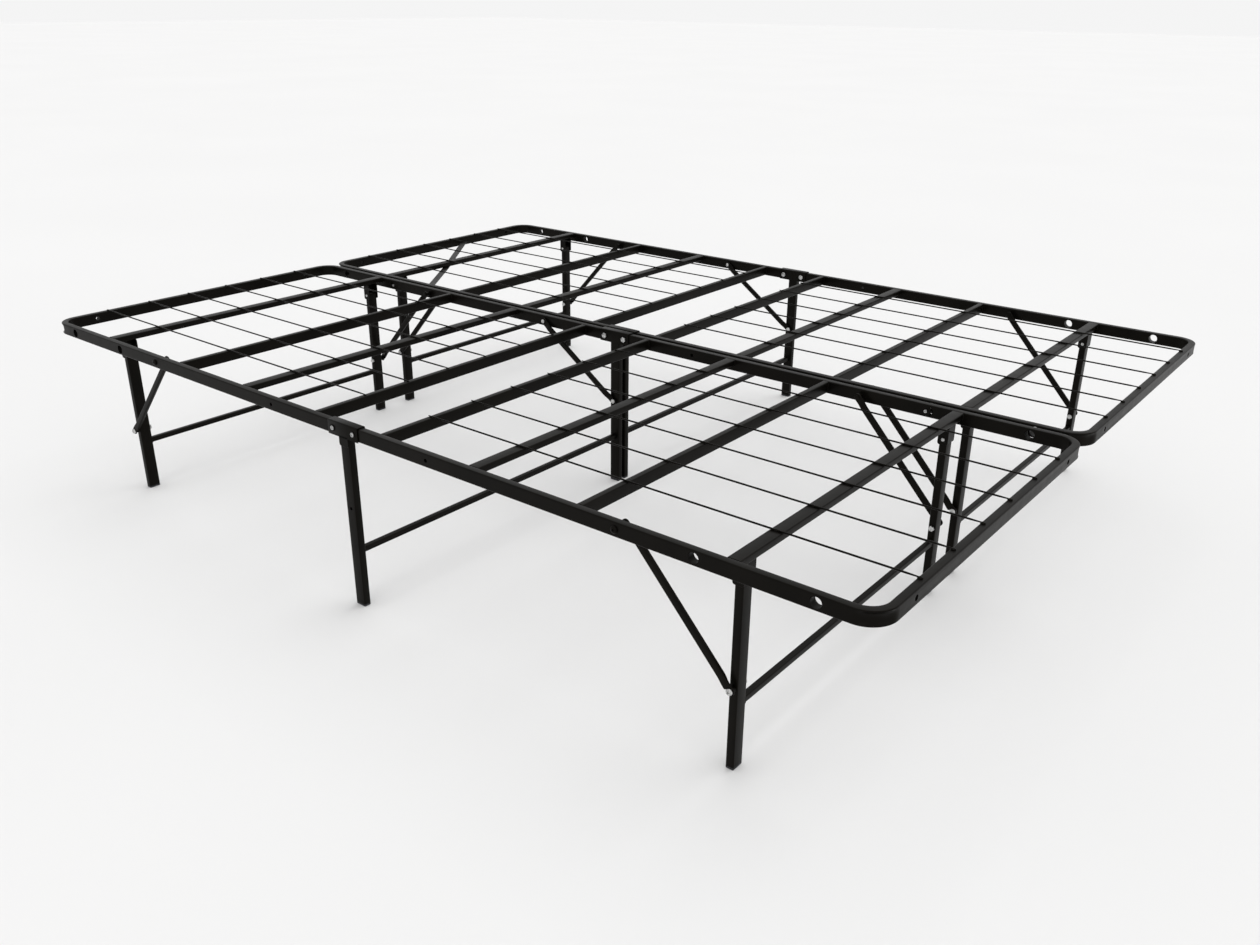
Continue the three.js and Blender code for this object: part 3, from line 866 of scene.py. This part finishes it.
def brace_sections(length):
    """Places along a brace: distance, width, thickness and how far it is still a tube."""
    half = BRACE_END_RADIUS
    flat = 11 * MM
    full = 26 * MM
    stations = []
    for k in range(1, 9):
        angle = math.pi / 2 * k / 8
        stations.append((-half * math.cos(angle), 2 * half * math.sin(angle), 0))
    for k in range(9):
        share = smoothstep(k / 8)
        at = flat + (full - flat) * k / 8
        stations.append((at, 2 * half + (BRACE_WIDE - 2 * half) * share, share))
    mirrored = [(length - at, wide, share) for at, wide, share in reversed(stations)]
    return stations + mirrored


def add_brace(shape, unit, side, pivot, foot, flat_inset):
    """A tube pressed flat at both ends, its outer face straight from end to end."""
    run = foot - pivot
    length = run.length
    along = run.normalized()
    inward = Vector((0, -SIDES[side], 0))
    across = along.cross(inward)
    base = Vector((pivot.x, side_face(unit, side), pivot.z))
    rings = []
    for at, wide, share in brace_sections(length):
        thick = BRACE_FLAT + (BRACE_DEEP - BRACE_FLAT) * share
        middle = flat_inset + thick / 2
        radius = 0.9 * MM + 0.7 * MM * share
        radius = min(radius, wide * 0.3)
        section = rounded(wide, thick, radius)
        rings.append(placed(section, base + along * at + inward * middle, across, inward))
    shape.loft(rings)


def notch_cutter(unit, side, foot, flat_inset, opening):
    """The open notch at the foot of a brace."""
    cutter = Shape()
    inward = Vector((0, -SIDES[side], 0))
    direction = Vector((math.cos(opening), 0, math.sin(opening)))
    across = direction.cross(inward)
    base = Vector((foot.x, inset(unit, side, flat_inset - 2 * MM), foot.z))
    half = 3.5 * MM
    points = [(half * math.cos(a), half * math.sin(a)) for a in half_turn()]
    points += [(BRACE_WIDE, -half), (BRACE_WIDE, half)]
    outline = placed(points, base, direction, across)
    cutter.loft([outline, [p + inward * (BRACE_FLAT + 4 * MM) for p in outline]])
    return cutter


def half_turn():
    """Angles round the closed end of a notch."""
    return [math.pi / 2 + math.pi * k / 12 for k in range(13)]


def rail_bolt(name, body, finish, unit, side, x, brace_inset):
    """A brace's pivot bolt: a crossed head, a spacer, a nut and a long end past them."""
    bolt = Shape()
    inward = Vector((0, -SIDES[side], 0))
    head = Vector((x, inset(unit, side, -CLEARANCE), RAIL_MIDDLE))
    round_head = [(0, 6 * MM), (0.5 * MM, 6.2 * MM)] + dome(6.2 * MM, 2.6 * MM, 0.8 * MM)
    bolt.turned(round_head, head, -inward)
    shank = [(0, RAIL_BOLT_RADIUS), (RAIL_BOLT_REACH, RAIL_BOLT_RADIUS)]
    tip = [(RAIL_BOLT_REACH, 2.6 * MM)] + dome(2.6 * MM, 1.4 * MM, RAIL_BOLT_REACH + 1 * MM)
    bolt.turned(shank + tip, head, inward, 20)
    spacer = brace_inset - RAIL_WIDE - 0.6 * MM
    start = Vector((x, inset(unit, side, RAIL_WIDE + CLEARANCE), RAIL_MIDDLE))
    bolt.turned([(0, 4.8 * MM), (spacer, 4.8 * MM)], start, inward)
    nut = Vector((x, inset(unit, side, brace_inset + BRACE_FLAT + 0.2 * MM), RAIL_MIDDLE))
    bolt.turned([(0, 4.4 * MM), (1.6 * MM, 4.4 * MM), (2 * MM, 3.8 * MM)], nut, inward)
    piece = bolt.object(name)
    cut_cross(piece, head - inward * 3.3 * MM, -inward, 3.2 * MM)
    place_piece(piece, body, finish)


def build_end_brace(unit, panel, side):
    node = f"brace_{unit}_{panel}_{side}"
    pivot = joint_pivot(f"brace_swing_{unit}_{panel}_{side}")
    foot_x = joint_pivot(f"leg_fold_{unit}_{panel}").x
    foot = Vector((foot_x, pivot.y, brace_foot_z(node)))
    flat_inset = leg_faces(unit, panel, side)[0] - BRACE_SET_OUT
    brace = Shape()
    add_brace(brace, unit, side, pivot, foot, flat_inset)
    piece = brace.object(f"look_{node}")
    run = foot - pivot
    opening = math.atan2(run.z, run.x) - PANELS[panel] * NOTCH_TURN
    carve(piece, notch_cutter(unit, side, foot, flat_inset, opening))
    place_piece(piece, node, "black_steel", node)
    name = f"look_rail_bolt_{unit}_{panel}_{side}"
    rail_bolt(name, node, "black_steel", unit, side, pivot.x, flat_inset)


def build_centre_brace(unit):
    node = f"centre_brace_{unit}"
    side = "far"
    pivot = joint_pivot(f"centre_brace_swing_{unit}")
    foot = Vector((0, pivot.y, brace_foot_z(node)))
    brace = Shape()
    add_brace(brace, unit, side, pivot, foot, CENTRE_BRACE_INSET)
    piece = brace.object(f"look_{node}")
    run = foot - pivot
    opening = math.atan2(run.z, run.x) + NOTCH_TURN
    carve(piece, notch_cutter(unit, side, foot, CENTRE_BRACE_INSET, opening))
    place_piece(piece, node, "black_steel", node)
    name = f"look_rail_bolt_centre_{unit}"
    rail_bolt(name, node, "zinc_bolt", unit, side, pivot.x, CENTRE_BRACE_INSET)


# ---- Bolts ---------------------------------------------------------------------------


def build_hinge_bolt(unit, panel, side):
    """A bolt through bracket and rail: a small crossed head outside, a nut inside."""
    node = f"hinge_bolt_{unit}_{panel}_{side}"
    x = centre(node).x
    bolt = Shape()
    inward = Vector((0, -SIDES[side], 0))
    face = Vector((x, inset(unit, side, -2 * CLEARANCE - PLATE), RAIL_MIDDLE))
    head = [(0, 3.9 * MM), (0.6 * MM, 4.2 * MM)] + dome(4.2 * MM, 1.6 * MM, 0.9 * MM)
    bolt.turned(head, face, -inward)
    through = RAIL_WIDE + 2 * PLATE + 8 * MM
    shank = [(0, 3.5 * MM), (through, 3.5 * MM), (through + 0.6 * MM, 2.6 * MM)]
    bolt.turned(shank, face, inward, 20)
    nut = Vector((x, inset(unit, side, RAIL_WIDE + PLATE + 2 * CLEARANCE), RAIL_MIDDLE))
    hexagon = [(0, 5.6 * MM), (0.5 * MM, 6.2 * MM), (3.2 * MM, 6.2 * MM), (3.6 * MM, 5.4 * MM)]
    bolt.turned(hexagon, nut, inward, 6)
    piece = bolt.object(f"look_{node}")
    cut_cross(piece, face - inward * 2.5 * MM, -inward, 2.6 * MM)
    place_piece(piece, "middle", "zinc_bolt", node)


def build_joiner_bolt(panel):
    """The bolt that ties the two units' centre rails together."""
    node = f"joiner_bolt_{panel}"
    low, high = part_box(node)
    x = (low.x + high.x) / 2
    bolt = Shape()
    start = Vector((x, low.y, RAIL_MIDDLE))
    length = high.y - low.y
    bolt.turned([(0, SHANK_RADIUS), (length, SHANK_RADIUS)], start, Y_AXIS, 20)
    head = Vector((x, low.y + 4 * MM, RAIL_MIDDLE))
    round_head = [(0, 6 * MM), (0.4 * MM, 6.2 * MM)] + dome(6.2 * MM, 3 * MM, 0.8 * MM)
    bolt.turned(round_head, head, -Y_AXIS)
    washers = Shape()
    for y, way in ((low.y + 5 * MM, -1), (high.y - 5 * MM, 1)):
        washer = [(0, 9.3 * MM), (0.8 * MM, 9.3 * MM), (1 * MM, 9 * MM)]
        washers.turned(washer, Vector((x, y, RAIL_MIDDLE)), Y_AXIS * way)
    place_piece(washers.object(f"look_washers_{panel}"), f"{panel}_deck", "black_steel")
    nut = Vector((x, high.y - 4 * MM, RAIL_MIDDLE))
    hexagon = [(0, 5.4 * MM), (3.2 * MM, 5.4 * MM), (3.8 * MM, 4.8 * MM)]
    bolt.turned(hexagon, nut, Y_AXIS, 6)
    spacer = Vector((x, -4 * MM, RAIL_MIDDLE))
    bolt.turned([(0, 9 * MM), (8 * MM, 9 * MM)], spacer, Y_AXIS)
    piece = bolt.object(f"look_{node}")
    cut_cross(piece, head - Y_AXIS * 3.8 * MM, -Y_AXIS, 3.2 * MM)
    place_piece(piece, f"{panel}_deck", "zinc_bolt", node)


# ---- The object ----------------------------------------------------------------------


def build_bed():
    for unit in UNITS:
        for panel in PANELS:
            build_rim(unit, panel)
            build_plain_slats(unit, panel)
            build_end_slat(unit, panel)
            build_wire_grid(unit, panel)
            build_end_legs(unit, panel)
            for side in SIDES:
                build_end_brace(unit, panel, side)
                foot_cap(f"foot_cap_{unit}_{panel}_{side}", f"end_legs_{unit}_{panel}")
        build_centre_legs(unit)
        build_centre_brace(unit)
        for side in SIDES:
            foot_cap(f"foot_cap_{unit}_centre_{side}", "middle")
            for panel in PANELS:
                build_hinge_bolt(unit, panel, side)
    for panel in PANELS:
        build_joiner_bolt(panel)
    build_strap()


# ---- Studio --------------------------------------------------------------------------


def build_floor():
    """A large pale floor."""
    floor = Shape()
    reach = 40
    corners = [(-reach, -reach), (reach, -reach), (reach, reach), (-reach, reach)]
    depth = 0.02
    floor.loft([placed(corners, Z_AXIS * z, X_AXIS, Y_AXIS) for z in (-depth, 0)])
    piece = floor.object("floor")
    material, tree, shader = surface("studio_floor", (0.77, 0.77, 0.77), 0, 0.9)
    colour = ramp(tree, noise(tree, 0.7, 2), (0.765, 0.765, 0.765), (0.775, 0.775, 0.775))
    tree.links.new(colour, shader.inputs["Base Color"])
    shader.inputs["Specular IOR Level"].default_value = 0.1
    piece.data.materials.append(material)


def soft_light(name, direction, spread, strength, colour=(1, 1, 1)):
    """A far, wide studio panel, spread radians across; direction points from the bed to it."""
    light = bpy.data.lights.new(name, "SUN")
    light.energy = strength
    light.angle = spread
    light.color = colour
    lamp = bpy.data.objects.new(name, light)
    bpy.context.scene.collection.objects.link(lamp)
    lamp.location = direction * 4
    lamp.rotation_euler = (-direction).to_track_quat("-Z", "Y").to_euler()


def build_lights():
    """A white room, a broad panel overhead and two weaker ones at the front and the right."""
    soft_light("overhead", Vector((0, 0.45, 1)), 0.8, 0.9)
    soft_light("front", Vector((0.25, -1, 0.5)), 0.5, 0.2, (1, 0.96, 0.9))
    soft_light("right", Vector((1, -0.1, 0.5)), 0.5, 0.1, (1, 0.96, 0.9))
    world = bpy.data.worlds.new("studio")
    world.use_nodes = True
    background = world.node_tree.nodes["Background"]
    background.inputs["Color"].default_value = (1, 1, 1, 1)
    background.inputs["Strength"].default_value = 0.91
    bpy.context.scene.world = world


def build_camera():
    """Stands off the near right corner, above the deck, looking down across the bed."""
    camera = bpy.data.cameras.new("camera")
    camera.sensor_width = 36
    camera.lens = 31.5
    eye = bpy.data.objects.new("camera", camera)
    bpy.context.scene.collection.objects.link(eye)
    heading = Matrix.Rotation(math.radians(128.192 - 90), 4, "Z")
    looking_down = Matrix.Rotation(math.radians(90 - 23.415), 4, "X")
    roll = Matrix.Rotation(math.radians(0.543), 4, "Z")
    place = Matrix.Translation((1.480, -1.841, 1.036))
    eye.matrix_world = place @ heading @ looking_down @ roll
    bpy.context.scene.camera = eye


def set_colour_view():
    bpy.context.scene.view_settings.view_transform = "Standard"


build_bed()
build_floor()
build_lights()
build_camera()
set_colour_view()
